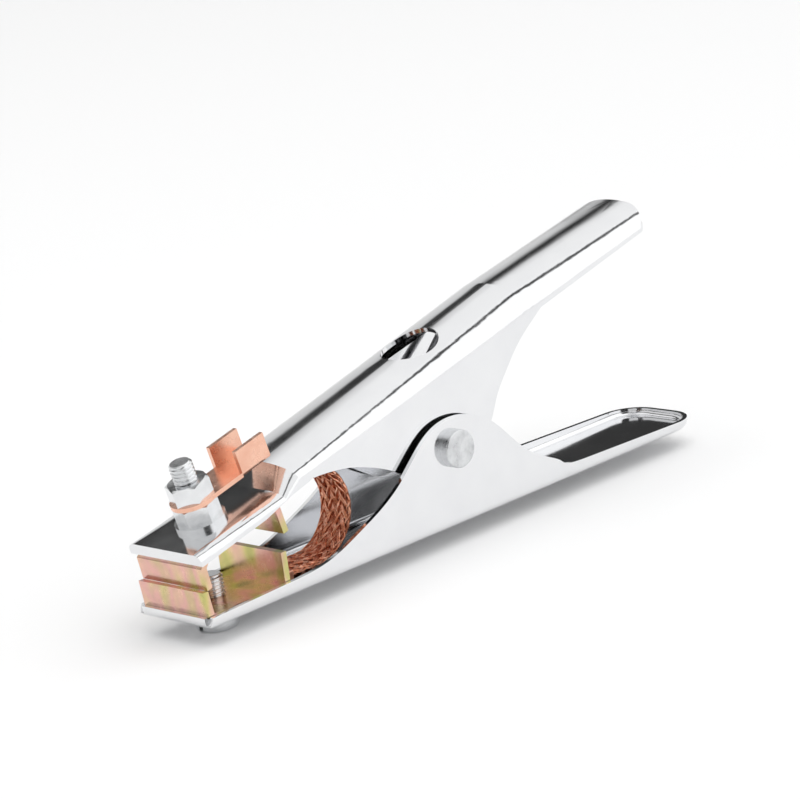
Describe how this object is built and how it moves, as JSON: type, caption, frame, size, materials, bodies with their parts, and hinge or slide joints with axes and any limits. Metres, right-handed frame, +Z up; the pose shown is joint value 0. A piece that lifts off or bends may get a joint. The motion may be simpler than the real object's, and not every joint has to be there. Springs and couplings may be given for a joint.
{
  "type": "ground clamp",
  "caption": "Spring-loaded welding ground clamp: two pressed steel arms on a riveted pivot, stamped jaw pads joined by a copper braid, and a stud with a crimp cable lug.",
  "frame": {"origin": "bottom centre of the whole clamp's box, under the jaw screw's head", "axes": "+Z up, +X from the jaws to the handles, +Y across the arms along the pivot axis"},
  "size_m": [0.2332, 0.0414, 0.0903],
  "materials": {
    "arm": "bright zinc-nickel plate over pressed steel",
    "pad": "yellow passivated zinc with a rainbow cast",
    "hardware": "bright zinc plate",
    "copper": "bare copper sheet",
    "braid": "bare woven copper wire",
    "spring": "oiled spring steel"
  },
  "bodies": {
    "lower": {"lower_arm": "arm", "lower_jaw_pad": "pad", "pivot_rivet": "hardware", "pivot_sleeve": "hardware", "pivot_washer_near": "hardware", "pivot_washer_far": "hardware", "jaw_screw": "hardware", "jaw_screw_washer": "hardware", "braid_terminal_lower": "copper", "braid_jumper": "braid", "torsion_spring": "spring"},
    "upper": {"upper_arm": "arm", "upper_jaw_pad": "pad", "terminal_stud": "hardware", "stud_washer": "hardware", "stud_base_nut": "hardware", "cable_lug": "copper", "lug_nut": "hardware", "braid_terminal_upper": "copper"}
  },
  "joints": [
    {"name": "jaw_hinge", "type": "hinge", "parent": "lower", "child": "upper", "pos_m": [-0.0034, 0, 0.033], "axis": [0, 1, 0], "range_deg": [0, 28], "stiffness_Nm_per_rad": 1.6, "springref_deg": -51.57, "deforming": ["braid_jumper", "torsion_spring"]}
  ]
}
